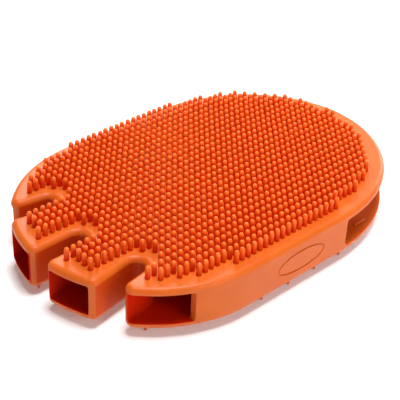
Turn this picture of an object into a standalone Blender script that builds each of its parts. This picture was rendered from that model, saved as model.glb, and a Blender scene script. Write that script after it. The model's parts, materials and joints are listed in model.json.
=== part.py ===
"""Two-sided grooming mitt: a hollow rubber palm with four open finger stalls.

The mitt lies flat: fingertips towards -X, wrist towards +X, dense pins on top (+Z)
and sparse pins below, whose tips stand at z = 0. Left and right are the wearer's,
looking along -X with the dense pins up, so left is -Y. Everything is in metres.

One moulding makes the real mitt. It is split here where it bends and where it
changes job: the palm's plates, side walls and slot webs, and for each finger a
flexing root, a stall and the envelope of its dense pins.
"""

import math

import bmesh
import bpy
from mathutils import Matrix, Vector

# Body
LENGTH = 0.220
WIDTH = 0.144
THICKNESS = 0.0240
WRIST_REACH = 0.082  # length of the half-ellipse at the wrist
PLATE = 0.0035  # front and back plates
WALL = 0.0032  # side walls and the walls beside the slots
EDGE_RADIUS = 0.0030

# Slots between the fingers
SLOT_WIDTH = 0.0100
MIDDLE_SLOT_DEPTH = 0.0290
OUTER_SLOT_DEPTH = 0.0276
INNER_FINGER_WIDTH = 0.0247  # middle slot to outer slot, at the outer slot's inner end
SLOT_FAN = math.radians(9.0)  # how far the outer slots turn outwards
TIP_RADIUS = 0.0042  # upright corners where a slot meets the outline

# Openings in the rim
FINGER_WALL_START = 0.0416  # the side walls begin this far from the fingertips
WRIST_WALL_END = 0.0770  # and end this far from the wrist end

# Flexing roots of the fingers
FLEX_LENGTH = 0.0100
FLEX_SETBACK = 0.0006  # from the centre of a slot's round end to the first fold line
INNER_FOLD_TILT = math.radians(4.5)
OUTER_FOLD_TILT = math.radians(15.0)

# Dense pins on the front, held here as one envelope over each zone
PIN_HEIGHT = 0.0070
PIN_MARGIN = 0.0069  # bare band between the outline and the pins
WRIST_PIN_MARGIN = 0.0110
SLOT_PIN_MARGIN = 0.0042
FOLD_PIN_MARGIN = 0.0016

# Sparse tapered pins on the back
BACK_PIN_HEIGHT = 0.0045
BACK_PIN_RADIUS = 0.0014
BACK_PIN_TIP_RADIUS = 0.0005
BACK_PIN_PITCH = 0.0194
BACK_PIN_SHIFT = -0.0067  # of the middle column, along X
BACK_PIN_MARGIN = 0.0040

# Ridges on the back plate, just inside the wrist
RIB_LENGTH = 0.0090
RIB_WIDTH = 0.0012
RIB_HEIGHT = 0.0010
RIB_CENTRE_X = 0.0535
RIB_EDGE_DISTANCE = 0.0055

GAP = 0.0003  # between solids that touch
OVERRUN = 0.0200  # how far a cutter passes the surface it cuts
WALL_SINK = 0.0010  # how far a joined shape reaches into its neighbour
ARC_STEP = math.radians(5.0)
SMALL_ARC_STEP = math.radians(15.0)
EDGE_SEGMENTS = 3
BACK_PIN_SIDES = 8

HALF_WIDTH = WIDTH / 2
TIP_X = -LENGTH / 2
WRIST_X = LENGTH / 2
WRIST_CENTRE_X = WRIST_X - WRIST_REACH
BACK_Z = BACK_PIN_HEIGHT
FRONT_Z = BACK_Z + THICKNESS
FLOOR_Z = BACK_Z + PLATE  # inside of the back plate
CEILING_Z = FRONT_Z - PLATE  # inside of the front plate
HINGE_Z = BACK_Z + THICKNESS / 2
SLOT_RADIUS = SLOT_WIDTH / 2
# The finger end is a half circle, whose foremost points are the corners beside the
# middle slot. This is its centre.
CORNER_Y = SLOT_RADIUS + TIP_RADIUS
CORNER_RUN = math.sqrt((HALF_WIDTH - TIP_RADIUS) ** 2 - CORNER_Y**2)
FINGER_CENTRE_X = TIP_X + TIP_RADIUS + CORNER_RUN
WALL_START_X = TIP_X + FINGER_WALL_START
WALL_END_X = WRIST_X - WRIST_WALL_END

RUBBER = {
    "front": (0.93, 0.17, 0.035),
    "back": (0.90, 0.16, 0.035),
    "wall": (0.95, 0.22, 0.05),
    "web": (0.88, 0.15, 0.03),
    "root": (0.80, 0.10, 0.02),
    "stall": (0.95, 0.20, 0.045),
    "pins": (0.90, 0.10, 0.015),
    "rib": (0.96, 0.30, 0.10),
}


# --- flat outlines -------------------------------------------------------------


def arc(centre, radius, start, end, step=ARC_STEP):
    """Points on a circle from the start angle to the end angle, both included."""
    count = max(2, math.ceil(abs(end - start) / step))
    angles = [start + (end - start) * i / count for i in range(count + 1)]
    return [centre + radius * Vector((math.cos(a), math.sin(a))) for a in angles]


class Slot:
    """A round-ended slot: the centre of its inner end and the way it runs out."""

    def __init__(self, side, depth):
        fan = side * SLOT_FAN
        self.outward = Vector((-math.cos(fan), math.sin(fan)))
        self.across = Vector((math.sin(fan), math.cos(fan)))  # towards +Y
        offset = side * (INNER_FINGER_WIDTH + SLOT_WIDTH)
        mouth_x = FINGER_CENTRE_X - math.sqrt(HALF_WIDTH**2 - offset**2)
        self.centre = Vector((mouth_x + depth - SLOT_RADIUS, offset))

    def reach(self, radius, across):
        """Along the slot, where a line this far across it meets a circle on the finger end."""
        start = self.centre + across * self.across - Vector((FINGER_CENTRE_X, 0))
        along = start.dot(self.outward)
        return -along + math.sqrt(along**2 - start.length_squared + radius**2)

    def point(self, along, across):
        return self.centre + along * self.outward + across * self.across

    def mouth(self, side, margin, radius):
        """The rounded corner on one side, from the slot's edge out to the outline."""
        corner = max(TIP_RADIUS - margin, 0.0005)
        rim = radius - corner
        width = SLOT_RADIUS + margin + corner
        centre = self.point(self.reach(rim, side * width), side * width)
        from_middle = centre - Vector((FINGER_CENTRE_X, 0))
        end = math.atan2(from_middle.y, from_middle.x)
        inward = -side * self.across
        start = math.atan2(inward.y, inward.x)
        turn = (end - start + math.pi) % (2 * math.pi) - math.pi
        return arc(centre, corner, start, start + turn, SMALL_ARC_STEP)

    def path(self, margin, radius):
        """In by the +Y edge, round the inner end and out by the -Y edge."""
        inner = math.atan2(self.across.y, self.across.x)
        end = arc(self.centre, SLOT_RADIUS + margin, inner, inner - math.pi, SMALL_ARC_STEP)
        return self.mouth(1, margin, radius)[::-1] + end + self.mouth(-1, margin, radius)


SLOTS = {
    "right": Slot(1, OUTER_SLOT_DEPTH),
    "middle": Slot(0, MIDDLE_SLOT_DEPTH),
    "left": Slot(-1, OUTER_SLOT_DEPTH),
}


def finger_end(margin, slot_margin):
    """The finger end from +Y round to -Y, with its three slots."""
    radius = HALF_WIDTH - margin
    middle = Vector((FINGER_CENTRE_X, 0))
    paths = [slot.path(slot_margin, radius) for slot in SLOTS.values()]
    angles = [math.pi / 2]
    for path in paths:
        for end in (path[0] - middle, path[-1] - middle):
            angles.append(math.atan2(end.y, end.x) % (2 * math.pi))
    angles.append(math.pi * 3 / 2)
    points = []
    for i in range(0, len(angles), 2):
        points += arc(middle, radius, angles[i], angles[i + 1])
        if i // 2 < len(paths):
            points += paths[i // 2][1:-1]
    return points


def wrist_end(margin, end_margin):
    """The half-ellipse at the wrist, from -Y round to +Y."""
    turn = arc(Vector((0, 0)), 1.0, -math.pi / 2, math.pi / 2)
    reach, half = WRIST_REACH - end_margin, HALF_WIDTH - margin
    return [Vector((WRIST_CENTRE_X + reach * p.x, half * p.y)) for p in turn]


def body_outline(margin=0.0, end_margin=0.0, slot_margin=0.0):
    """The slotted outline, this far inside its side, wrist and slot edges."""
    return wrist_end(margin, end_margin) + finger_end(margin, slot_margin)


def side_y(x, margin=0.0):
    """Half the width of the unslotted outline at x."""
    half = HALF_WIDTH - margin
    if x < FINGER_CENTRE_X:
        return math.sqrt(max(half**2 - (x - FINGER_CENTRE_X) ** 2, 0.0))
    if x > WRIST_CENTRE_X:
        reach = WRIST_REACH - margin
        return half * math.sqrt(max(1 - ((x - WRIST_CENTRE_X) / reach) ** 2, 0.0))
    return half


def side_run(side, margin, count=24):
    """The outline of one long side between the wall's two ends."""
    step = (WALL_END_X - WALL_START_X) / count
    xs = [WALL_START_X + step * i for i in range(count + 1)]
    return [Vector((x, side * side_y(x, margin))) for x in xs]


def cavity_outline():
    """The hollow between the side walls, run out past both open ends of the body."""
    far_y = HALF_WIDTH + OVERRUN
    left, right = side_run(-1, WALL), side_run(1, WALL)
    wrist = [(WALL_END_X, -far_y), (WRIST_X + OVERRUN, -far_y)]
    wrist += [(WRIST_X + OVERRUN, far_y), (WALL_END_X, far_y)]
    tips = [(WALL_START_X, far_y), (TIP_X - OVERRUN, far_y)]
    tips += [(TIP_X - OVERRUN, -far_y), (WALL_START_X, -far_y)]
    return left + [Vector(p) for p in wrist] + right[::-1] + [Vector(p) for p in tips]


def slot_cutter_outline(slot, margin=0.0):
    """A slot, this much wider on each side, run out past the fingertips."""
    radius = SLOT_RADIUS + margin
    inner = math.atan2(slot.across.y, slot.across.x)
    end = arc(slot.centre, radius, inner, inner - math.pi, SMALL_ARC_STEP)
    length = LENGTH / 2
    return end + [slot.point(length, -radius), slot.point(length, radius)]


# --- fingers -------------------------------------------------------------------


class Finger:
    """One finger between two slots, or between a slot and the outline."""

    def __init__(self, name, side, low, high, tilt):
        self.name, self.low, self.high = name, low, high
        self.fold = Vector((side * math.sin(tilt), math.cos(tilt)))  # along the fold line
        self.outward = Vector((-math.cos(tilt), side * math.sin(tilt)))
        # The fold starts where it clears the deepest round end beside the finger.
        beside = [slot for slot in (low, high) if slot]
        self.start = max(slot.centre.dot(self.outward) for slot in beside) + FLEX_SETBACK
        self.middle = self.middle_of_fold()

    def line_point(self, distance, y):
        """On the fold line moved this far towards the tip, the point at this y."""
        along = self.start + distance
        t = (y - along * self.outward.y) / self.fold.y
        return along * self.outward + t * self.fold

    def bounds(self, distance):
        """Points on a moved fold line in the middle of the slots beside the finger."""
        ends = []
        for slot, side in ((self.low, -1), (self.high, 1)):
            y = slot.centre.y if slot else side * (HALF_WIDTH + OVERRUN)
            if slot:
                for _ in range(4):
                    along = (self.line_point(distance, y) - slot.centre).dot(slot.outward)
                    y = slot.point(along, 0).y
            ends.append(self.line_point(distance, y))
        return ends

    def region(self, near, far):
        """The strip between two fold lines, from the middle of one slot to the next."""
        (a, b), (c, d) = self.bounds(near), self.bounds(far)
        return [a, b, d, c]

    def middle_of_fold(self):
        """The middle of the hinge line, across the finger's own width."""
        low, high = self.bounds(FLEX_LENGTH / 2)
        if self.low and self.high:
            return (low + high) / 2
        inner = low if self.low else high
        edge_y = math.copysign(side_y(inner.x), inner.y)
        return (inner + self.line_point(FLEX_LENGTH / 2, edge_y)) / 2


FINGERS = [
    Finger("left_outer", -1, None, SLOTS["left"], OUTER_FOLD_TILT),
    Finger("left_inner", -1, SLOTS["left"], SLOTS["middle"], INNER_FOLD_TILT),
    Finger("right_inner", 1, SLOTS["middle"], SLOTS["right"], INNER_FOLD_TILT),
    Finger("right_outer", 1, SLOTS["right"], None, OUTER_FOLD_TILT),
]


def palm_outline(setback=0.0):
    """Everything on the wrist's side of the four fold lines."""
    far_y = HALF_WIDTH + OVERRUN
    points = [Vector((WRIST_X + OVERRUN, far_y)), Vector((WRIST_X + OVERRUN, -far_y))]
    for finger in FINGERS:
        points += finger.bounds(-GAP / 2 - setback)
    return points


# --- solids --------------------------------------------------------------------


def clear_scene():
    for obj in list(bpy.data.objects):
        bpy.data.objects.remove(obj, do_unlink=True)


def new_collection(name):
    collection = bpy.data.collections.new(name)
    bpy.context.scene.collection.children.link(collection)
    return collection


def rubber(name, color):
    material = bpy.data.materials.new("rubber_" + name)
    material.use_nodes = True
    shader = material.node_tree.nodes["Principled BSDF"]
    shader.inputs["Base Color"].default_value = (*color, 1.0)
    shader.inputs["Roughness"].default_value = 0.45
    shader.inputs["Metallic"].default_value = 0.0
    return material


def plain_mesh(source, name, merge=1e-6):
    """A copy of an object as one welded mesh, without its modifiers."""
    graph = bpy.context.evaluated_depsgraph_get()
    mesh = bpy.data.meshes.new_from_object(source.evaluated_get(graph))
    mesh.transform(source.matrix_world)
    work = bmesh.new()
    work.from_mesh(mesh)
    bmesh.ops.remove_doubles(work, verts=work.verts, dist=merge)
    bmesh.ops.dissolve_limit(work, angle_limit=1e-3, verts=work.verts, edges=work.edges)
    bmesh.ops.recalc_face_normals(work, faces=work.faces)
    work.to_mesh(mesh)
    work.free()
    mesh.name = name
    return mesh


def prism(name, outline, low, high, collection):
    """A flat outline with a thickness, from one height to another."""
    curve = bpy.data.curves.new(name, "CURVE")
    curve.dimensions = "2D"
    curve.fill_mode = "BOTH"
    curve.extrude = (high - low) / 2
    spline = curve.splines.new("POLY")
    spline.points.add(len(outline) - 1)
    for point, (x, y) in zip(spline.points, outline):
        point.co = (x, y, 0, 1)
    spline.use_cyclic_u = True
    flat = bpy.data.objects.new(name, curve)
    flat.location.z = (low + high) / 2
    collection.objects.link(flat)
    bpy.context.view_layer.update()
    mesh = plain_mesh(flat, name)
    bpy.data.objects.remove(flat)
    bpy.data.curves.remove(curve)
    return place(name, mesh, collection)


def place(name, mesh, collection):
    obj = bpy.data.objects.new(name, mesh)
    collection.objects.link(obj)
    return obj


def boolean(obj, cutter, operation):
    modifier = obj.modifiers.new(operation.lower(), "BOOLEAN")
    modifier.operation = operation
    modifier.object = cutter
    modifier.solver = "EXACT"


def finish(obj, color, origin=(0, 0, 0)):
    """Shade a part, give it its material and put its origin where asked."""
    bpy.context.view_layer.update()
    mesh = plain_mesh(obj, obj.name)
    mesh.transform(Matrix.Translation(-Vector(origin)))
    obj.modifiers.clear()
    obj.data = mesh
    obj.matrix_world = Matrix.Translation(origin)
    mesh.shade_smooth()
    mesh.set_sharp_from_angle(angle=math.radians(35))
    mesh.materials.clear()
    mesh.materials.append(rubber(obj.name, color))
    return obj


class Mitt:
    """Builds every node. Cutters stay in their own hidden collection."""

    def __init__(self):
        self.parts = new_collection("grooming_mitt")
        self.cutters = new_collection("cutters")
        self.blank = self.rounded_body()
        self.cavity = self.cutter("cavity", cavity_outline(), FLOOR_Z, CEILING_Z)
        for name, slot in SLOTS.items():
            wall = slot_cutter_outline(slot, WALL)
            boolean(self.cavity, self.cutter(name + "_slot_wall", wall), "DIFFERENCE")
        self.cavity = self.settled(self.cavity)

    def cutter(self, name, outline, low=BACK_Z - OVERRUN, high=FRONT_Z + OVERRUN):
        obj = prism(name, outline, low, high, self.cutters)
        self.hide(obj)
        return obj

    def hide(self, obj):
        obj.hide_render = True
        obj.display_type = "WIRE"

    def settled(self, obj):
        """The object with its modifiers made into its mesh."""
        bpy.context.view_layer.update()
        mesh = plain_mesh(obj, obj.name)
        obj.modifiers.clear()
        obj.data = mesh
        return obj

    def rounded_body(self):
        """The solid body outline with its upper and lower edges rounded."""
        body = self.cutter("body", body_outline(), BACK_Z, FRONT_Z)
        bevel = body.modifiers.new("edges", "BEVEL")
        bevel.width = EDGE_RADIUS
        bevel.segments = EDGE_SEGMENTS
        bevel.limit_method = "ANGLE"
        bevel.angle_limit = math.radians(60)
        bevel.use_clamp_overlap = False
        return self.settled(body)

    def from_blank(self, name):
        return place(name, self.blank.data.copy(), self.parts)

    def plate(self, name, low, high):
        """The palm's share of the body between two heights."""
        plate = self.from_blank(name)
        zone = self.cutter(name + "_zone", palm_outline(), low, high)
        boolean(plate, zone, "INTERSECT")
        return plate

    def side_wall(self, name, side):
        outer, inner = side_run(side, 0.0), side_run(side, WALL)
        wall = prism(name, outer + inner[::-1], FLOOR_Z + GAP, CEILING_Z - GAP, self.parts)
        boolean(wall, self.cutter(name + "_zone", palm_outline()), "INTERSECT")
        finish(wall, RUBBER["wall"])

    def slot_web(self, name, slot):
        """The wall that wraps round a slot's inner end."""
        outline = slot_cutter_outline(slot, WALL)
        web = prism(name, outline, FLOOR_Z + GAP, CEILING_Z - GAP, self.parts)
        boolean(web, self.cutter(name + "_slot", slot_cutter_outline(slot)), "DIFFERENCE")
        boolean(web, self.cutter(name + "_zone", palm_outline()), "INTERSECT")
        finish(web, RUBBER["web"])

    def rib(self, name, side):
        y = side * (side_y(RIB_CENTRE_X) - RIB_EDGE_DISTANCE)
        size = (RIB_LENGTH, RIB_WIDTH, RIB_HEIGHT)
        centre = (RIB_CENTRE_X, y, FLOOR_Z + GAP + RIB_HEIGHT / 2)
        bpy.ops.mesh.primitive_cube_add(size=1, location=centre)
        rib = bpy.context.object
        rib.name = name
        rib.data.transform(Matrix.Diagonal((*size, 1)))
        for collection in list(rib.users_collection):
            collection.objects.unlink(rib)
        self.parts.objects.link(rib)
        bevel = rib.modifiers.new("crest", "BEVEL")
        bevel.width = RIB_HEIGHT / 4
        bevel.segments = 1
        finish(rib, RUBBER["rib"])

    def back_pin(self, name, x, y):
        """One tapered pin that reaches from inside the back plate down to z = 0."""
        height = BACK_PIN_HEIGHT + WALL_SINK
        bpy.ops.mesh.primitive_cone_add(
            vertices=BACK_PIN_SIDES,
            radius1=BACK_PIN_TIP_RADIUS,
            radius2=BACK_PIN_RADIUS,
            depth=height,
            location=(x, y, height / 2),
        )
        pin = bpy.context.object
        pin.name = name
        for collection in list(pin.users_collection):
            collection.objects.unlink(pin)
        self.cutters.objects.link(pin)
        self.hide(pin)
        return pin

    def add_back_pins(self, obj, inside):
        """Join to a solid every pin of the back's grid that stands on it."""
        group = bpy.data.collections.new(obj.name + "_back_pins")
        self.cutters.children.link(group)
        count = 0
        for x, y in back_pin_places():
            if not inside(Vector((x, y))):
                continue
            count += 1
            pin = self.back_pin(f"{obj.name}_pin_{count}", x, y)
            self.cutters.objects.unlink(pin)
            group.objects.link(pin)
        if count:
            modifier = obj.modifiers.new("back_pins", "BOOLEAN")
            modifier.operation = "UNION"
            modifier.operand_type = "COLLECTION"
            modifier.collection = group
            modifier.solver = "EXACT"

    def pin_envelope(self, name, outline, low, high=FRONT_Z + PIN_HEIGHT):
        """The space that the dense pins of one zone fill."""
        field = body_outline(PIN_MARGIN, WRIST_PIN_MARGIN, SLOT_PIN_MARGIN)
        envelope = prism(name, field, low, high, self.parts)
        boolean(envelope, self.cutter(name + "_zone", outline), "INTERSECT")
        return envelope

    def palm(self):
        front = self.plate("palm_front_plate", CEILING_Z, FRONT_Z + OVERRUN)
        finish(front, RUBBER["front"])
        back = self.plate("palm_back_plate", BACK_Z - OVERRUN, FLOOR_Z)
        self.add_back_pins(back, on_palm)
        finish(back, RUBBER["back"])
        for name, side in (("left", -1), ("right", 1)):
            self.side_wall(name + "_side_wall", side)
            self.rib(name + "_wrist_rib", side)
        for name, slot in SLOTS.items():
            self.slot_web(name + "_slot_web", slot)
        pins = self.pin_envelope(
            "palm_pin_field", palm_outline(FOLD_PIN_MARGIN), FRONT_Z + GAP
        )
        finish(pins, RUBBER["pins"])

    def tube(self, name, outline):
        """A finger's share of the hollow body."""
        tube = self.from_blank(name)
        boolean(tube, self.cutter(name + "_zone", outline), "INTERSECT")
        boolean(tube, self.cavity, "DIFFERENCE")
        return tube

    def finger(self, finger):
        fold = (*finger.middle, HINGE_Z)
        root_zone = finger.region(GAP / 2, FLEX_LENGTH - GAP / 2)
        root = self.tube(finger.name + "_flex_root", root_zone)
        pins_zone = finger.region(FOLD_PIN_MARGIN, FLEX_LENGTH - FOLD_PIN_MARGIN)
        pins = self.pin_envelope(finger.name + "_root_pins", pins_zone, FRONT_Z - WALL_SINK)
        self.parts.objects.unlink(pins)
        self.cutters.objects.link(pins)
        self.hide(pins)
        boolean(root, self.settled(pins), "UNION")
        finish(root, RUBBER["root"], fold)

        stall_zone = finger.region(FLEX_LENGTH + GAP / 2, LENGTH / 2)
        stall = self.tube(finger.name + "_stall", stall_zone)
        self.add_back_pins(stall, lambda place: on_stall(finger, place))
        finish(stall, RUBBER["stall"], fold)
        if finger.low and finger.high:
            # An outer stall is too narrow past its flexing root to carry pins.
            field_zone = finger.region(FLEX_LENGTH + FOLD_PIN_MARGIN, LENGTH / 2)
            field = self.pin_envelope(finger.name + "_pin_field", field_zone, FRONT_Z + GAP)
            finish(field, RUBBER["pins"], fold)


# --- the back's pins -----------------------------------------------------------


def back_pin_places():
    """The back's square grid, two rows either side of the middle line and out."""
    columns = math.ceil(LENGTH / 2 / BACK_PIN_PITCH) + 1
    rows = math.ceil(HALF_WIDTH / BACK_PIN_PITCH) + 1
    for i in range(-columns, columns + 1):
        for j in range(-rows, rows):
            x = BACK_PIN_SHIFT + i * BACK_PIN_PITCH
            y = (j + 0.5) * BACK_PIN_PITCH
            if on_back(Vector((x, y))):
                yield x, y


def on_back(place):
    """True where a pin stands clear of the outline and of every slot."""
    inside = TIP_X < place.x < WRIST_X
    if not inside or abs(place.y) > side_y(place.x, BACK_PIN_MARGIN):
        return False
    clear = SLOT_RADIUS + BACK_PIN_MARGIN
    for slot in SLOTS.values():
        offset = place - slot.centre
        along, across = offset.dot(slot.outward), offset.dot(slot.across)
        distance = abs(across) if along > 0 else offset.length
        if distance < clear:
            return False
    return True


def finger_at(place):
    """The finger whose strip holds this place."""
    for finger in FINGERS:
        low, high = finger.bounds((place.dot(finger.outward)) - finger.start)
        if low.y <= place.y < high.y:
            return finger
    return FINGERS[0]


def past_fold(finger, place):
    """How far a place lies beyond a finger's first fold line."""
    return place.dot(finger.outward) - finger.start


def on_palm(place):
    return past_fold(finger_at(place), place) < -BACK_PIN_RADIUS - GAP


def on_stall(finger, place):
    return (
        finger_at(place) is finger
        and past_fold(finger, place) > FLEX_LENGTH + BACK_PIN_RADIUS + GAP
    )


def main():
    clear_scene()
    mitt = Mitt()
    mitt.palm()
    for finger in FINGERS:
        mitt.finger(finger)


main()
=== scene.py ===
"""Looks of the two-sided grooming mitt: soft moulded rubber, dense round pins on the
front, sparse tapered pins on the back, four open finger stalls and a wide wrist."""

import json
import math

import bmesh
import bpy
from mathutils import Matrix, Vector


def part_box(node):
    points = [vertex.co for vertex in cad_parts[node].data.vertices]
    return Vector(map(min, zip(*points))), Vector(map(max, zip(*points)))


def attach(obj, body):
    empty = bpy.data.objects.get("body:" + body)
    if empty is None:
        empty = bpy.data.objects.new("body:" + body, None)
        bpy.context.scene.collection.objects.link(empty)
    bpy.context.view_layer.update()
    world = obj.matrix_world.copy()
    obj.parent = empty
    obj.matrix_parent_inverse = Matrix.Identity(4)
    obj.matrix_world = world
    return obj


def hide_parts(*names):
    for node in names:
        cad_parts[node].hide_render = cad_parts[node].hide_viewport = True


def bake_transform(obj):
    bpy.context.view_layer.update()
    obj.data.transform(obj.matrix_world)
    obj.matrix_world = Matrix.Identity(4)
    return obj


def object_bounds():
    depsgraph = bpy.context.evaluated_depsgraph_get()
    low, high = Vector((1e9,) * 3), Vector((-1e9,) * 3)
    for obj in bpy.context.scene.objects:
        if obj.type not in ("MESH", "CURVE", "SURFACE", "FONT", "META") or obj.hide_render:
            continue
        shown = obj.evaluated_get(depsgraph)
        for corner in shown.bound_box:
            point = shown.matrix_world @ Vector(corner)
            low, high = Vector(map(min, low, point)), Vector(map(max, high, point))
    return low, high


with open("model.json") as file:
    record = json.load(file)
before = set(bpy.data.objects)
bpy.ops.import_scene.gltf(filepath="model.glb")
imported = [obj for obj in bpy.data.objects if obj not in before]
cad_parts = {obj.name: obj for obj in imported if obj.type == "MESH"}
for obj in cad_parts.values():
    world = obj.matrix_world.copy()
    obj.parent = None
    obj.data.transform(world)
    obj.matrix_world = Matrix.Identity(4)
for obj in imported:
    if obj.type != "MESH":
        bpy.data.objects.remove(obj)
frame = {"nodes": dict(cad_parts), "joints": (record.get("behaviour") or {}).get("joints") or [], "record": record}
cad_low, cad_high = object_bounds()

# --- sizes, from the frame ------------------------------------------------------

HALF_LENGTH = (cad_high.x - cad_low.x) / 2
HALF_WIDTH = (cad_high.y - cad_low.y) / 2
CEILING_Z, FRONT_Z = (corner.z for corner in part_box("palm_front_plate"))
PLATE = FRONT_Z - CEILING_Z
FLOOR_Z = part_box("palm_back_plate")[1].z
BACK_Z = FLOOR_Z - PLATE
PIN_TOP_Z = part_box("palm_pin_field")[1].z
WALL_START_X, WALL_END_X = (corner.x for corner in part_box("left_side_wall"))
SIDE_FACE = Vector(frame["record"]["mounts"][1]["pos_m"])
RIBS = {side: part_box(side + "_wrist_rib") for side in ("left", "right")}

# --- sizes of the moulding -------------------------------------------------------

WALL = 0.0032
WALL_NOSE = 0.0034  # how far a side wall's end is rounded, beside the wrist
WRIST_REACH = 0.0820
SLOT_RADIUS = 0.0050
SLOT_FAN = math.radians(9.0)
MIDDLE_SLOT_DEPTH = 0.0290
OUTER_SLOT_DEPTH = 0.0276
OUTER_SLOT_Y = 0.0347
TIP_RADIUS = 0.0042
EDGE_RADIUS = 0.0030
EDGE_SEGMENTS = 8
INNER_RADIUS = 0.0012  # where the hollow's walls meet its floor and ceiling
FLEX_LENGTH = 0.0100
FLEX_SLICES = 12

PIN_PITCH_X = 0.00398
PIN_PITCH_Y = 0.00440
PIN_RADIUS = 0.00130
PIN_EDGE = 0.0081  # from the outline to the nearest pins' middles
WRIST_PIN_EDGE = 0.0122
SLOT_PIN_EDGE = 0.0054
PIN_SINK = 0.0004  # how far a pin's foot reaches into the plate
PIN_FOOT = 1.10  # a pin's foot against its shank
PIN_SIDES = 10
PIN_LEAN = math.radians(1.6)
PIN_SIZE_SPREAD = 0.03

BACK_PIN_PITCH = 0.0194
BACK_PIN_SHIFT = -0.0067
BACK_PIN_MARGIN = 0.0040
BACK_PIN_RADIUS = 0.0015
BACK_PIN_TIP_RADIUS = 0.00065
BACK_PIN_SIDES = 14

PANEL_LENGTH = 0.0330  # the blank oval on the left wall
PANEL_HEIGHT = 0.0112
PANEL_GROOVE = 0.00062
PANEL_STEPS = 96
GROOVE_SIDES = 8

# The shelter is painted shade: faces in the hollow and the slots get a deep red colour in place of the light that
# does not reach them.
HOLLOW_SHELTER = 1.0  # how little light reaches a face: in the hollow, in a slot
SLOT_SHELTER = 0.55
SLOT_FACE_REACH = 0.0006  # a face this near a slot's edge lines the slot
TOUCHING = 1e-5

ARC_STEP = math.radians(2.0)
SMALL_ARC_STEP = math.radians(7.5)
OVERRUN = 0.0200

TIP_X = -HALF_LENGTH
WRIST_CENTRE_X = HALF_LENGTH - WRIST_REACH
CORNER_Y = SLOT_RADIUS + TIP_RADIUS
CORNER_RUN = math.sqrt((HALF_WIDTH - TIP_RADIUS) ** 2 - CORNER_Y**2)
FINGER_CENTRE = Vector((TIP_X + TIP_RADIUS + CORNER_RUN, 0))


# --- flat outlines ---------------------------------------------------------------


def arc(centre, radius, start, end, step=ARC_STEP):
    """Points on a circle from the start angle to the end angle, both included."""
    count = max(2, math.ceil(abs(end - start) / step))
    angles = [start + (end - start) * i / count for i in range(count + 1)]
    return [centre + radius * Vector((math.cos(a), math.sin(a))) for a in angles]


class Slot:
    """A round-ended slot: the centre of its inner end and the way it runs out."""

    def __init__(self, side, depth):
        fan = side * SLOT_FAN
        self.outward = Vector((-math.cos(fan), math.sin(fan)))
        self.across = Vector((math.sin(fan), math.cos(fan)))
        y = side * OUTER_SLOT_Y
        mouth_x = FINGER_CENTRE.x - math.sqrt(HALF_WIDTH**2 - y**2)
        self.centre = Vector((mouth_x + depth - SLOT_RADIUS, y))

    def point(self, along, across):
        return self.centre + along * self.outward + across * self.across

    def reach(self, radius, across):
        """Along the slot, where a line this far across it meets a circle of the finger end."""
        start = self.centre + across * self.across - FINGER_CENTRE
        along = start.dot(self.outward)
        return -along + math.sqrt(along**2 - start.length_squared + radius**2)

    def mouth(self, side):
        """The rounded corner on one side, from the slot's edge out to the outline."""
        across = side * (SLOT_RADIUS + TIP_RADIUS)
        centre = self.point(self.reach(HALF_WIDTH - TIP_RADIUS, across), across)
        outer = centre - FINGER_CENTRE
        inward = -side * self.across
        start = math.atan2(inward.y, inward.x)
        end = math.atan2(outer.y, outer.x)
        turn = (end - start + math.pi) % (2 * math.pi) - math.pi
        return arc(centre, TIP_RADIUS, start, start + turn, SMALL_ARC_STEP)

    def inner_end(self, radius):
        start = math.atan2(self.across.y, self.across.x)
        return arc(self.centre, radius, start, start - math.pi, SMALL_ARC_STEP)

    def path(self):
        """In by the +Y edge, round the inner end and out by the -Y edge."""
        return self.mouth(1)[::-1] + self.inner_end(SLOT_RADIUS) + self.mouth(-1)

    def cutter(self, margin):
        """The slot, this much wider on each side, run out past the fingertips."""
        radius = SLOT_RADIUS + margin
        end = [self.point(HALF_LENGTH, -radius), self.point(HALF_LENGTH, radius)]
        return self.inner_end(radius) + end

    def distance(self, place):
        """From a place to the slot's middle line."""
        offset = place - self.centre
        along, across = offset.dot(self.outward), offset.dot(self.across)
        return abs(across) if along > 0 else offset.length


SLOTS = {
    "right": Slot(1, OUTER_SLOT_DEPTH),
    "middle": Slot(0, MIDDLE_SLOT_DEPTH),
    "left": Slot(-1, OUTER_SLOT_DEPTH),
}


def body_outline():
    """The whole outline: wrist end, right side, finger end with its slots, left side."""
    turn = arc(Vector((0, 0)), 1.0, -math.pi / 2, math.pi / 2)
    points = [Vector((WRIST_CENTRE_X + WRIST_REACH * p.x, HALF_WIDTH * p.y)) for p in turn]
    paths = [slot.path() for slot in SLOTS.values()]
    angles = [math.pi / 2]
    for path in paths:
        for end in (path[0] - FINGER_CENTRE, path[-1] - FINGER_CENTRE):
            angles.append(math.atan2(end.y, end.x) % (2 * math.pi))
    angles.append(math.pi * 3 / 2)
    for i in range(0, len(angles), 2):
        points += arc(FINGER_CENTRE, HALF_WIDTH, angles[i], angles[i + 1])
        if i // 2 < len(paths):
            points += paths[i // 2][1:-1]
    return points


def side_y(x, margin=0.0, wrist_margin=None):
    """Half the width of the unslotted outline at x, this far inside its edge."""
    half = HALF_WIDTH - margin
    if x < FINGER_CENTRE.x:
        return math.sqrt(max(half**2 - (x - FINGER_CENTRE.x) ** 2, 0.0))
    if x > WRIST_CENTRE_X:
        reach = WRIST_REACH - (margin if wrist_margin is None else wrist_margin)
        return half * math.sqrt(max(1 - ((x - WRIST_CENTRE_X) / reach) ** 2, 0.0))
    return half


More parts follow.
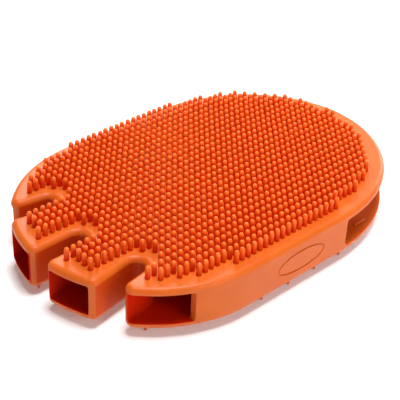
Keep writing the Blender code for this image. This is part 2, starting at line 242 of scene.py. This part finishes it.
def cavity_outline():
    """The hollow between the side walls, run out past both open ends of the body."""
    far_y, count = HALF_WIDTH + OVERRUN, 60
    step = (WALL_END_X - WALL_START_X) / count
    xs = [WALL_START_X + step * i for i in range(count + 1)]
    left = [Vector((x, -side_y(x, WALL))) for x in xs]
    right = [Vector((p.x, -p.y)) for p in reversed(left)]
    nose, inner_y = Vector((WALL_END_X - WALL_NOSE, 0)), side_y(WALL_END_X, WALL)
    for turn in arc(Vector((0, 0)), 1.0, 0, math.pi / 2, SMALL_ARC_STEP)[1:]:
        point = nose + Vector((WALL_NOSE * turn.x, -inner_y - 1.1 * WALL * turn.y))
        left.append(point)
        right.insert(0, Vector((point.x, -point.y)))
    wrist_x, tips_x = HALF_LENGTH + OVERRUN, TIP_X - OVERRUN
    wrist = [(nose.x, -far_y), (wrist_x, -far_y), (wrist_x, far_y), (nose.x, far_y)]
    tips = [(WALL_START_X, far_y), (tips_x, far_y), (tips_x, -far_y), (WALL_START_X, -far_y)]
    return left + [Vector(p) for p in wrist] + right + [Vector(p) for p in tips]


# --- fingers ---------------------------------------------------------------------


class Finger:
    """One finger: its fold lines, from its joint, and the slots beside it."""

    def __init__(self, name, low, high):
        self.name, self.low, self.high = name, low, high
        joint = next(j for j in frame["joints"] if j["name"] == name + "_flex")
        self.hinge = Vector(joint["pos_m"])
        self.fold = Vector(joint["axis"]).xy.normalized()
        self.outward = Vector((-self.fold.y, self.fold.x))
        self.start = self.hinge.xy.dot(self.outward) - FLEX_LENGTH / 2
        self.body = name + "_finger"

    def line_point(self, distance, y):
        along = self.start + distance
        t = (y - along * self.outward.y) / self.fold.y
        return along * self.outward + t * self.fold

    def bounds(self, distance):
        """Points on a moved fold line in the middle of the slots beside the finger."""
        ends = []
        for slot, side in ((self.low, -1), (self.high, 1)):
            y = slot.centre.y if slot else side * (HALF_WIDTH + OVERRUN)
            for _ in range(4 if slot else 0):
                along = (self.line_point(distance, y) - slot.centre).dot(slot.outward)
                y = slot.point(along, 0).y
            ends.append(self.line_point(distance, y))
        return ends

    def region(self):
        """The finger past its first fold line, from the middle of one slot to the next."""
        (a, b), (c, d) = self.bounds(0), self.bounds(HALF_LENGTH)
        return [a, b, d, c]

    def past_fold(self, place):
        return place.dot(self.outward) - self.start

    def holds(self, place):
        """True for a place past the fold line, between the finger's two slots."""
        past = self.past_fold(place)
        low, high = self.bounds(past)
        return past > 0 and low.y <= place.y < high.y

    def flex_ends(self):
        """Start and end of the bending zone."""
        half = FLEX_LENGTH / 2 * self.outward.to_3d()
        return self.hinge - half, self.hinge + half


FINGERS = [
    Finger("left_outer", None, SLOTS["left"]),
    Finger("left_inner", SLOTS["left"], SLOTS["middle"]),
    Finger("right_inner", SLOTS["middle"], SLOTS["right"]),
    Finger("right_outer", SLOTS["right"], None),
]


def palm_outline():
    """Everything on the wrist's side of the four fold lines."""
    far_x, far_y = HALF_LENGTH + OVERRUN, HALF_WIDTH + OVERRUN
    points = [Vector((far_x, far_y)), Vector((far_x, -far_y))]
    for finger in FINGERS:
        points += finger.bounds(0)
    return points


def owner(place):
    """The finger a place on the mitt bends with, or None for the palm."""
    return next((finger for finger in FINGERS if finger.holds(place)), None)


# --- mesh tools ------------------------------------------------------------------


def add_object(name, mesh):
    obj = bpy.data.objects.new(name, mesh)
    bpy.context.scene.collection.objects.link(obj)
    return obj


def prism(name, outline, low, high):
    """A flat outline drawn up from one height to another."""
    work = bmesh.new()
    base = work.faces.new([work.verts.new((p.x, p.y, low)) for p in outline])
    top = bmesh.ops.extrude_face_region(work, geom=[base])["geom"]
    moved = [v for v in top if isinstance(v, bmesh.types.BMVert)]
    bmesh.ops.translate(work, verts=moved, vec=(0, 0, high - low))
    bmesh.ops.recalc_face_normals(work, faces=work.faces)
    mesh = bpy.data.meshes.new(name)
    work.to_mesh(mesh)
    work.free()
    return add_object(name, mesh)


def edit(obj, change):
    """Apply a bmesh change to an object's mesh."""
    work = bmesh.new()
    work.from_mesh(obj.data)
    change(work)
    work.to_mesh(obj.data)
    work.free()
    obj.data.update()


def round_edges(obj, radius, segments, chosen):
    """Round the edges that a test picks out."""

    def change(work):
        edges = [e for e in work.edges if e.is_manifold and chosen(e)]
        bmesh.ops.bevel(
            work,
            geom=edges,
            offset=radius,
            segments=segments,
            profile=0.5,
            affect="EDGES",
            clamp_overlap=False,
        )

    edit(obj, change)


def is_rim(edge):
    """A level edge of a prism, between a flat end and a side."""
    return edge.calc_face_angle() > math.radians(60) and is_level(edge)


def is_level(edge):
    a, b = (v.co.z for v in edge.verts)
    return abs(a - b) < 1e-7


def boolean(obj, cutter, operation):
    """Cut or join one object with another, and make the result its mesh."""
    modifier = obj.modifiers.new(operation.lower(), "BOOLEAN")
    modifier.operation = operation
    modifier.object = cutter
    modifier.solver = "EXACT"
    settle(obj)
    bpy.data.objects.remove(cutter)


def settle(obj):
    """Make an object's modifiers part of its mesh."""
    bpy.context.view_layer.update()
    graph = bpy.context.evaluated_depsgraph_get()
    mesh = bpy.data.meshes.new_from_object(obj.evaluated_get(graph))
    obj.modifiers.clear()
    obj.data = mesh


def smooth(obj, sharp=math.radians(42)):
    """Smooth shading whose flat faces stay flat."""
    obj.data.shade_smooth()
    obj.data.set_sharp_from_angle(angle=sharp)
    modifier = obj.modifiers.new("flat_faces", "WEIGHTED_NORMAL")
    modifier.keep_sharp = True
    modifier.weight = 80
    settle(obj)


# --- the skin --------------------------------------------------------------------


def oval_groove():
    """A ring that engraves the blank oval panel in the left wall."""
    work = bmesh.new()
    rings = []
    for i in range(PANEL_STEPS):
        turn = 2 * math.pi * i / PANEL_STEPS
        centre = SIDE_FACE + Vector(
            (math.cos(turn) * PANEL_LENGTH / 2, 0, math.sin(turn) * PANEL_HEIGHT / 2)
        )
        outward = Vector((math.cos(turn) / PANEL_LENGTH, 0, math.sin(turn) / PANEL_HEIGHT))
        outward.normalize()
        ring = []
        for j in range(GROOVE_SIDES):
            a = 2 * math.pi * (j + 0.5) / GROOVE_SIDES
            offset = outward * math.cos(a) + Vector((0, -1, 0)) * math.sin(a)
            ring.append(work.verts.new(centre + offset * PANEL_GROOVE))
        rings.append(ring)
    for i, ring in enumerate(rings):
        following = rings[(i + 1) % PANEL_STEPS]
        for j in range(GROOVE_SIDES):
            k = (j + 1) % GROOVE_SIDES
            work.faces.new((ring[j], ring[k], following[k], following[j]))
    bmesh.ops.recalc_face_normals(work, faces=work.faces)
    mesh = bpy.data.meshes.new("oval_groove")
    work.to_mesh(mesh)
    work.free()
    return add_object("oval_groove", mesh)


def whole_skin():
    """The hollow moulding in one piece."""
    skin = prism("skin", body_outline(), BACK_Z, FRONT_Z)
    round_edges(skin, EDGE_RADIUS, EDGE_SEGMENTS, is_rim)
    hollow = prism("hollow", cavity_outline(), FLOOR_Z, CEILING_Z)
    for slot in SLOTS.values():
        wall = prism("slot_wall", slot.cutter(WALL), BACK_Z - OVERRUN, FRONT_Z + OVERRUN)
        boolean(hollow, wall, "DIFFERENCE")
    round_edges(hollow, INNER_RADIUS, 3, is_rim)
    boolean(skin, hollow, "DIFFERENCE")
    boolean(skin, oval_groove(), "DIFFERENCE")
    return skin


def shelter_of(face):
    """How little light reaches a face of the skin: the share of painted shade in its colour."""
    place, z = face.center.xy, face.center.z
    from_slots = min(slot.distance(place) for slot in SLOTS.values()) - SLOT_RADIUS
    from_side = side_y(place.x) - abs(place.y)
    if abs(z - FLOOR_Z) < TOUCHING:
        return HOLLOW_SHELTER if face.normal.z > 0.5 else 0.0
    if abs(z - CEILING_Z) < TOUCHING:
        return HOLLOW_SHELTER if face.normal.z < -0.5 else 0.0
    if not FLOOR_Z < z < CEILING_Z:
        return 0.0
    if min(from_slots, from_side) > WALL * 0.7:
        return HOLLOW_SHELTER
    return SLOT_SHELTER if from_slots < SLOT_FACE_REACH else 0.0


def mark_sheltered(obj):
    """Give each face of the skin its shelter, the mask of painted shade."""
    shelter = obj.data.attributes.new("shelter", "FLOAT", "FACE")
    for face, value in zip(obj.data.polygons, shelter.data):
        value.value = shelter_of(face)


def share_of(skin, name, outline):
    """The part of the skin over a flat outline."""
    piece = add_object(name, skin.data.copy())
    zone = prism("zone", outline, BACK_Z - OVERRUN, FRONT_Z + OVERRUN)
    boolean(piece, zone, "INTERSECT")
    return piece


def slice_flex_zone(obj, finger):
    """Cut an object's faces across the bending zone, so that they can bend."""
    start, end = finger.flex_ends()

    def change(work):
        for i in range(1, FLEX_SLICES + 1):
            place = start.lerp(end, i / FLEX_SLICES)
            geometry = work.verts[:] + work.edges[:] + work.faces[:]
            bmesh.ops.bisect_plane(
                work, geom=geometry, plane_co=place, plane_no=finger.outward.to_3d()
            )

    edit(obj, change)


def rib(name, low, high):
    """A low moulded ridge with a rounded crest, rooted in the back plate."""
    work = bmesh.new()
    bmesh.ops.create_cube(work, size=1.0)
    size = high - low
    size.z += 0.0008
    centre = (low + high) / 2 - Vector((0, 0, 0.0004))
    bmesh.ops.scale(work, vec=size, verts=work.verts)
    bmesh.ops.translate(work, vec=centre, verts=work.verts)
    mesh = bpy.data.meshes.new(name)
    work.to_mesh(mesh)
    work.free()
    piece = add_object(name, mesh)
    round_edges(piece, size.y * 0.38, 4, lambda edge: edge.calc_face_angle() > 1.0)
    return piece


# --- pins ------------------------------------------------------------------------


def turned(name, profile, sides):
    """A closed turned shape from (radius, height) pairs, bottom to top."""
    work = bmesh.new()
    rings = []
    for radius, height in profile[:-1]:
        turns = [2 * math.pi * i / sides for i in range(sides)]
        rings.append(
            [work.verts.new((radius * math.cos(t), radius * math.sin(t), height)) for t in turns]
        )
    tip = work.verts.new((0, 0, profile[-1][1]))
    work.faces.new(list(reversed(rings[0])))
    for low, high in zip(rings, rings[1:]):
        for i in range(sides):
            k = (i + 1) % sides
            work.faces.new((low[i], low[k], high[k], high[i]))
    for i in range(sides):
        work.faces.new((rings[-1][i], rings[-1][(i + 1) % sides], tip))
    mesh = bpy.data.meshes.new(name)
    work.to_mesh(mesh)
    work.free()
    mesh.shade_smooth()
    rise = mesh.attributes.new("rise", "FLOAT", "POINT")
    for vertex, value in zip(mesh.vertices, rise.data):
        value.value = vertex.co.z / profile[-1][1]
    return add_object(name, mesh)


def round_pin():
    """A dense pin: a slightly tapered shank under a full dome."""
    height = PIN_TOP_Z - FRONT_Z + PIN_SINK
    shoulder = height - PIN_RADIUS
    profile = [(PIN_RADIUS * PIN_FOOT, 0.0), (PIN_RADIUS, shoulder)]
    for turn in (40, 68):
        a = math.radians(turn)
        profile.append((PIN_RADIUS * math.cos(a), shoulder + PIN_RADIUS * math.sin(a)))
    profile.append((0.0, height))
    return turned("round_pin", profile, PIN_SIDES)


def tapered_pin():
    """A sparse pin of the back, drawn pointing up."""
    height = BACK_Z + PIN_SINK
    tip = BACK_PIN_TIP_RADIUS
    profile = [(BACK_PIN_RADIUS * 1.25, 0.0), (BACK_PIN_RADIUS, PIN_SINK + 0.0003)]
    profile += [(BACK_PIN_RADIUS * 0.62, height * 0.55), (tip, height - tip * 0.8)]
    profile += [(tip * 0.7, height - tip * 0.25), (0.0, height)]
    return turned("tapered_pin", profile, BACK_PIN_SIDES)


def pin_places():
    """The front's grid, with a row and a column either side of its middle lines."""
    columns = math.ceil(HALF_LENGTH / PIN_PITCH_X)
    rows = math.ceil(HALF_WIDTH / PIN_PITCH_Y)
    for i in range(-columns, columns):
        for j in range(-rows, rows):
            place = Vector(((i + 0.5) * PIN_PITCH_X, (j + 0.5) * PIN_PITCH_Y))
            if abs(place.y) > side_y(place.x, PIN_EDGE, WRIST_PIN_EDGE):
                continue
            if all(s.distance(place) > SLOT_RADIUS + SLOT_PIN_EDGE for s in SLOTS.values()):
                yield place


def back_pin_places():
    columns = math.ceil(HALF_LENGTH / BACK_PIN_PITCH) + 1
    rows = math.ceil(HALF_WIDTH / BACK_PIN_PITCH) + 1
    for i in range(-columns, columns + 1):
        for j in range(-rows, rows):
            place = Vector((BACK_PIN_SHIFT + i * BACK_PIN_PITCH, (j + 0.5) * BACK_PIN_PITCH))
            if not TIP_X < place.x < HALF_LENGTH:
                continue
            if abs(place.y) > side_y(place.x, BACK_PIN_MARGIN):
                continue
            if all(s.distance(place) > SLOT_RADIUS + BACK_PIN_MARGIN for s in SLOTS.values()):
                yield place


def pin_tree():
    """Stands a copy of a pin on every point, each a little off upright and off size."""
    tree = bpy.data.node_groups.new("stand_pins", "GeometryNodeTree")
    face = tree.interface
    face.new_socket("Geometry", in_out="INPUT", socket_type="NodeSocketGeometry")
    face.new_socket("Pin", in_out="INPUT", socket_type="NodeSocketObject")
    face.new_socket("Lean", in_out="INPUT", socket_type="NodeSocketFloat")
    face.new_socket("Size Spread", in_out="INPUT", socket_type="NodeSocketFloat")
    face.new_socket("Seed", in_out="INPUT", socket_type="NodeSocketInt")
    face.new_socket("Material", in_out="INPUT", socket_type="NodeSocketMaterial")
    face.new_socket("Geometry", in_out="OUTPUT", socket_type="NodeSocketGeometry")
    nodes, links = tree.nodes, tree.links

    entry = nodes.new("NodeGroupInput")
    info = nodes.new("GeometryNodeObjectInfo")
    links.new(entry.outputs["Pin"], info.inputs["Object"])

    lean = nodes.new("FunctionNodeRandomValue")
    lean.data_type = "FLOAT_VECTOR"
    bounds = {}
    for name, sign in (("Min", -1.0), ("Max", 1.0)):
        scale = nodes.new("ShaderNodeMath")
        scale.operation = "MULTIPLY"
        scale.inputs[1].default_value = sign
        links.new(entry.outputs["Lean"], scale.inputs[0])
        pack = nodes.new("ShaderNodeCombineXYZ")
        links.new(scale.outputs[0], pack.inputs["X"])
        links.new(scale.outputs[0], pack.inputs["Y"])
        bounds[name] = pack
        links.new(pack.outputs["Vector"], lean.inputs[name])
    links.new(entry.outputs["Seed"], lean.inputs["Seed"])

    size = nodes.new("FunctionNodeRandomValue")
    size.data_type = "FLOAT"
    smallest = nodes.new("ShaderNodeMath")
    smallest.operation = "SUBTRACT"
    smallest.inputs[0].default_value = 1.0
    links.new(entry.outputs["Size Spread"], smallest.inputs[1])
    links.new(smallest.outputs[0], size.inputs[2])
    size.inputs[3].default_value = 1.0
    links.new(entry.outputs["Seed"], size.inputs["Seed"])

    stand = nodes.new("GeometryNodeInstanceOnPoints")
    links.new(entry.outputs["Geometry"], stand.inputs["Points"])
    links.new(info.outputs["Geometry"], stand.inputs["Instance"])
    links.new(lean.outputs["Value"], stand.inputs["Rotation"])
    links.new(size.outputs[1], stand.inputs["Scale"])
    whole = nodes.new("GeometryNodeRealizeInstances")
    finish = nodes.new("GeometryNodeSetMaterial")
    leave = nodes.new("NodeGroupOutput")
    links.new(stand.outputs["Instances"], whole.inputs["Geometry"])
    links.new(whole.outputs["Geometry"], finish.inputs["Geometry"])
    links.new(entry.outputs["Material"], finish.inputs["Material"])
    links.new(finish.outputs["Geometry"], leave.inputs["Geometry"])
    return tree


def stand_pins(name, places, height, pin, tree, material, seed, flipped=False):
    """One plain mesh of pins on these places; flipped pins point down."""
    mesh = bpy.data.meshes.new(name)
    mesh.from_pydata([(p.x, -p.y if flipped else p.y, 0) for p in places], [], [])
    obj = add_object(name, mesh)
    modifier = obj.modifiers.new("pins", "NODES")
    modifier.node_group = tree
    values = {
        "Pin": pin,
        "Lean": PIN_LEAN,
        "Size Spread": PIN_SIZE_SPREAD,
        "Seed": seed,
        "Material": material,
    }
    for item in tree.interface.items_tree:
        if item.in_out == "INPUT" and item.name in values:
            modifier[item.identifier] = values[item.name]
    settle(obj)
    turn = Matrix.Rotation(math.pi, 4, "X") if flipped else Matrix.Identity(4)
    obj.data.transform(Matrix.Translation((0, 0, height)) @ turn)
    obj.data.shade_smooth()
    return obj


# --- materials -------------------------------------------------------------------


def rubber(name, color, deep, roughness, specular):
    """Soft moulded rubber: faint mottling, fine grain and a satin face."""
    material = bpy.data.materials.new(name)
    material.use_nodes = True
    nodes, links = material.node_tree.nodes, material.node_tree.links
    shader = nodes["Principled BSDF"]
    shader.inputs["IOR"].default_value = 1.45
    shader.inputs["Specular IOR Level"].default_value = specular
    shader.inputs["Subsurface Weight"].default_value = 0.45
    shader.inputs["Subsurface Radius"].default_value = (1.0, 0.10, 0.02)
    shader.inputs["Subsurface Scale"].default_value = 0.003

    coordinate = nodes.new("ShaderNodeTexCoord")
    mottle = nodes.new("ShaderNodeTexNoise")
    mottle.inputs["Scale"].default_value = 55.0
    mottle.inputs["Detail"].default_value = 4.0
    links.new(coordinate.outputs["Object"], mottle.inputs["Vector"])
    tones = nodes.new("ShaderNodeValToRGB")
    tones.name = "tones"
    tones.color_ramp.elements[0].position = 0.30
    tones.color_ramp.elements[0].color = (*deep, 1.0)
    tones.color_ramp.elements[1].position = 0.70
    tones.color_ramp.elements[1].color = (*color, 1.0)
    links.new(mottle.outputs["Fac"], tones.inputs["Fac"])
    links.new(tones.outputs["Color"], shader.inputs["Base Color"])

    wear = nodes.new("ShaderNodeMapRange")
    wear.inputs["To Min"].default_value = roughness - 0.06
    wear.inputs["To Max"].default_value = roughness + 0.08
    links.new(mottle.outputs["Fac"], wear.inputs["Value"])
    links.new(wear.outputs["Result"], shader.inputs["Roughness"])

    grain = nodes.new("ShaderNodeTexNoise")
    grain.inputs["Scale"].default_value = 1400.0
    grain.inputs["Detail"].default_value = 3.0
    links.new(coordinate.outputs["Object"], grain.inputs["Vector"])
    bump = nodes.new("ShaderNodeBump")
    bump.inputs["Strength"].default_value = 0.12
    bump.inputs["Distance"].default_value = 0.0002
    links.new(grain.outputs["Fac"], bump.inputs["Height"])
    links.new(bump.outputs["Normal"], shader.inputs["Normal"])
    return material


def paint_shade_red(material, attribute, start, end, red, fade=None):
    """Paint shade into a rubber: blend it to a deep, dull red, and dull its reflection, as an
    attribute goes from start to end. The painted shade may fade between two places on X."""
    nodes, links = material.node_tree.nodes, material.node_tree.links
    source = nodes.new("ShaderNodeAttribute")
    source.attribute_name = attribute
    amount = nodes.new("ShaderNodeMapRange")
    amount.inputs["From Min"].default_value = start
    amount.inputs["From Max"].default_value = end
    links.new(source.outputs["Fac"], amount.inputs["Value"])
    share = amount.outputs["Result"]
    shader = nodes["Principled BSDF"]
    # The painted shade also dulls the reflection, down to a low specular level.
    gloss = nodes.new("ShaderNodeMapRange")
    gloss.inputs["To Min"].default_value = shader.inputs["Specular IOR Level"].default_value
    gloss.inputs["To Max"].default_value = 0.04
    links.new(share, gloss.inputs["Value"])
    links.new(gloss.outputs["Result"], shader.inputs["Specular IOR Level"])
    if fade:
        coordinate = nodes.new("ShaderNodeTexCoord")
        split = nodes.new("ShaderNodeSeparateXYZ")
        links.new(coordinate.outputs["Object"], split.inputs["Vector"])
        along = nodes.new("ShaderNodeMapRange")
        along.inputs["From Min"].default_value = fade[1]
        along.inputs["From Max"].default_value = fade[0]
        links.new(split.outputs["X"], along.inputs["Value"])
        both = nodes.new("ShaderNodeMath")
        both.operation = "MULTIPLY"
        links.new(share, both.inputs[0])
        links.new(along.outputs["Result"], both.inputs[1])
        share = both.outputs["Value"]
    blend = nodes.new("ShaderNodeMix")
    blend.data_type = "RGBA"
    blend.inputs[7].default_value = (*red, 1.0)
    links.new(share, blend.inputs[0])
    links.new(nodes["tones"].outputs["Color"], blend.inputs[6])
    links.new(blend.outputs[2], shader.inputs["Base Color"])


# --- build -----------------------------------------------------------------------


def build_skin(material):
    skin = whole_skin()
    palm = share_of(skin, "palm_skin", palm_outline())
    smooth(palm)
    mark_sheltered(palm)
    palm.data.materials.clear()
    palm.data.materials.append(material)
    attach(palm, "palm")
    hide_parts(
        "palm_front_plate",
        "palm_back_plate",
        "left_side_wall",
        "right_side_wall",
        "left_slot_web",
        "middle_slot_web",
        "right_slot_web",
    )
    for finger in FINGERS:
        piece = share_of(skin, finger.name + "_skin", finger.region())
        slice_flex_zone(piece, finger)
        smooth(piece)
        mark_sheltered(piece)
        piece.data.materials.clear()
        piece.data.materials.append(material)
        start, end = finger.flex_ends()
        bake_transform(piece)
        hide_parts(finger.name + "_flex_root", finger.name + "_stall")
    bpy.data.objects.remove(skin)
    for side, (low, high) in RIBS.items():
        ridge = rib(side + "_rib", low, high)
        ridge.data.shade_smooth()
        ridge.data.materials.append(material)
        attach(ridge, "palm")
        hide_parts(side + "_wrist_rib")


def build_pins(front_material, back_material):
    tree = pin_tree()
    kinds = {
        "front": (round_pin(), list(pin_places()), FRONT_Z - PIN_SINK, front_material),
        "back": (tapered_pin(), list(back_pin_places()), BACK_Z + PIN_SINK, back_material),
    }
    seed = 3
    for face, (pin, places, height, material) in kinds.items():
        for finger in [None] + FINGERS:
            mine = [p for p in places if owner(p) is finger]
            if not mine:
                continue
            seed += 1
            name = (finger.name if finger else "palm") + "_" + face + "_pins"
            pins = stand_pins(
                name, mine, height, pin, tree, material, seed, flipped=face == "back"
            )
            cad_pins(pins, finger, face)
        bpy.data.objects.remove(pin)


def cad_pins(pins, finger, face):
    """Fix a mesh of pins to the palm, or, for a finger, bake its transform into its mesh."""
    if finger is None:
        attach(pins, "palm")
    else:
        start, end = finger.flex_ends()
        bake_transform(pins)
    if face == "front":
        field = (finger.name if finger else "palm") + "_pin_field"
        if field in frame["nodes"]:
            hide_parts(field)


FLOOR_HALF = 3.0
FLOOR_GLOW = 0.15
SKY_STRENGTH = 0.14
LIGHT_TARGET = Vector((0, 0, 0.01))
LIGHTS = (  # name, place, width in metres, power in watts
    ("overhead", (0.00, -0.08, 1.00), 0.40, 10.5),
    ("front", (0.10, -1.00, 0.45), 0.5, 3.6),
    ("back", (0.50, 0.65, 0.60), 0.5, 6.0),
    ("wrist", (1.00, 0.20, 0.30), 0.5, 4.0),
)


def build_stage():
    """A pale floor, a pale sky and soft lights."""
    mesh = bpy.data.meshes.new("floor")
    half = FLOOR_HALF
    corners = [(-half, -half, 0), (half, -half, 0), (half, half, 0), (-half, half, 0)]
    mesh.from_pydata(corners, [], [(0, 1, 2, 3)])
    floor = add_object("floor", mesh)
    material = bpy.data.materials.new("pale_floor")
    material.use_nodes = True
    shader = material.node_tree.nodes["Principled BSDF"]
    shader.inputs["Base Color"].default_value = (0.90, 0.90, 0.90, 1)
    shader.inputs["Roughness"].default_value = 0.9
    shader.inputs["Emission Color"].default_value = (1.0, 1.0, 1.0, 1)
    shader.inputs["Emission Strength"].default_value = FLOOR_GLOW
    floor.data.materials.append(material)

    world = bpy.data.worlds.new("studio")
    world.use_nodes = True
    background = world.node_tree.nodes["Background"]
    background.inputs["Color"].default_value = (1.0, 1.0, 1.0, 1)
    background.inputs["Strength"].default_value = SKY_STRENGTH
    bpy.context.scene.world = world

    bpy.context.scene.view_settings.view_transform = "Standard"

    for name, place, width, power in LIGHTS:
        light = bpy.data.lights.new(name, "AREA")
        light.shape = "DISK"
        light.size = width
        light.energy = power
        lamp = add_object(name, light)
        lamp.location = place
        facing = LIGHT_TARGET - Vector(place)
        lamp.rotation_euler = facing.to_track_quat("-Z", "Y").to_euler()


CAMERA_AZIMUTH = math.radians(-44.618)
CAMERA_ELEVATION = math.radians(33.777)
CAMERA_ROLL = math.radians(2.917)
CAMERA_DISTANCE = 0.58978
CAMERA_TARGET = Vector((0.006386, 0.011306, BACK_Z))
CAMERA_LENS = 95.97


def build_camera():
    camera = bpy.data.cameras.new("camera")
    camera.lens = CAMERA_LENS
    camera.sensor_width = 36.0
    camera.clip_start = 0.01
    obj = add_object("camera", camera)
    level = math.cos(CAMERA_ELEVATION)
    away = Vector(
        (
            math.sin(CAMERA_AZIMUTH) * level,
            -math.cos(CAMERA_AZIMUTH) * level,
            math.sin(CAMERA_ELEVATION),
        )
    )
    place = CAMERA_TARGET + CAMERA_DISTANCE * away
    facing = (-away).to_track_quat("-Z", "Y").to_matrix().to_4x4()
    roll = Matrix.Rotation(CAMERA_ROLL, 4, "Z")
    obj.matrix_world = Matrix.Translation(place) @ facing @ roll
    bpy.context.scene.camera = obj


skin_rubber = rubber("orange_rubber", (0.70, 0.135, 0.0095), (0.64, 0.115, 0.0075), 0.40, 0.32)
# Painted shade: faces in the hollow and the slots turn deep red, fading out towards the wrist.
paint_shade_red(skin_rubber, "shelter", 0.0, 1.0, (0.58, 0.016, 0.0015), fade=(-0.03, 0.03))
pin_rubber = rubber("pin_rubber", (0.93, 0.175, 0.0130), (0.87, 0.150, 0.0105), 0.46, 0.38)
# Painted shade between the pins: each pin turns deep red towards its foot.
paint_shade_red(pin_rubber, "rise", 0.95, 0.10, (0.76, 0.055, 0.0036))
build_skin(skin_rubber)
build_pins(pin_rubber, skin_rubber)
build_stage()
build_camera()
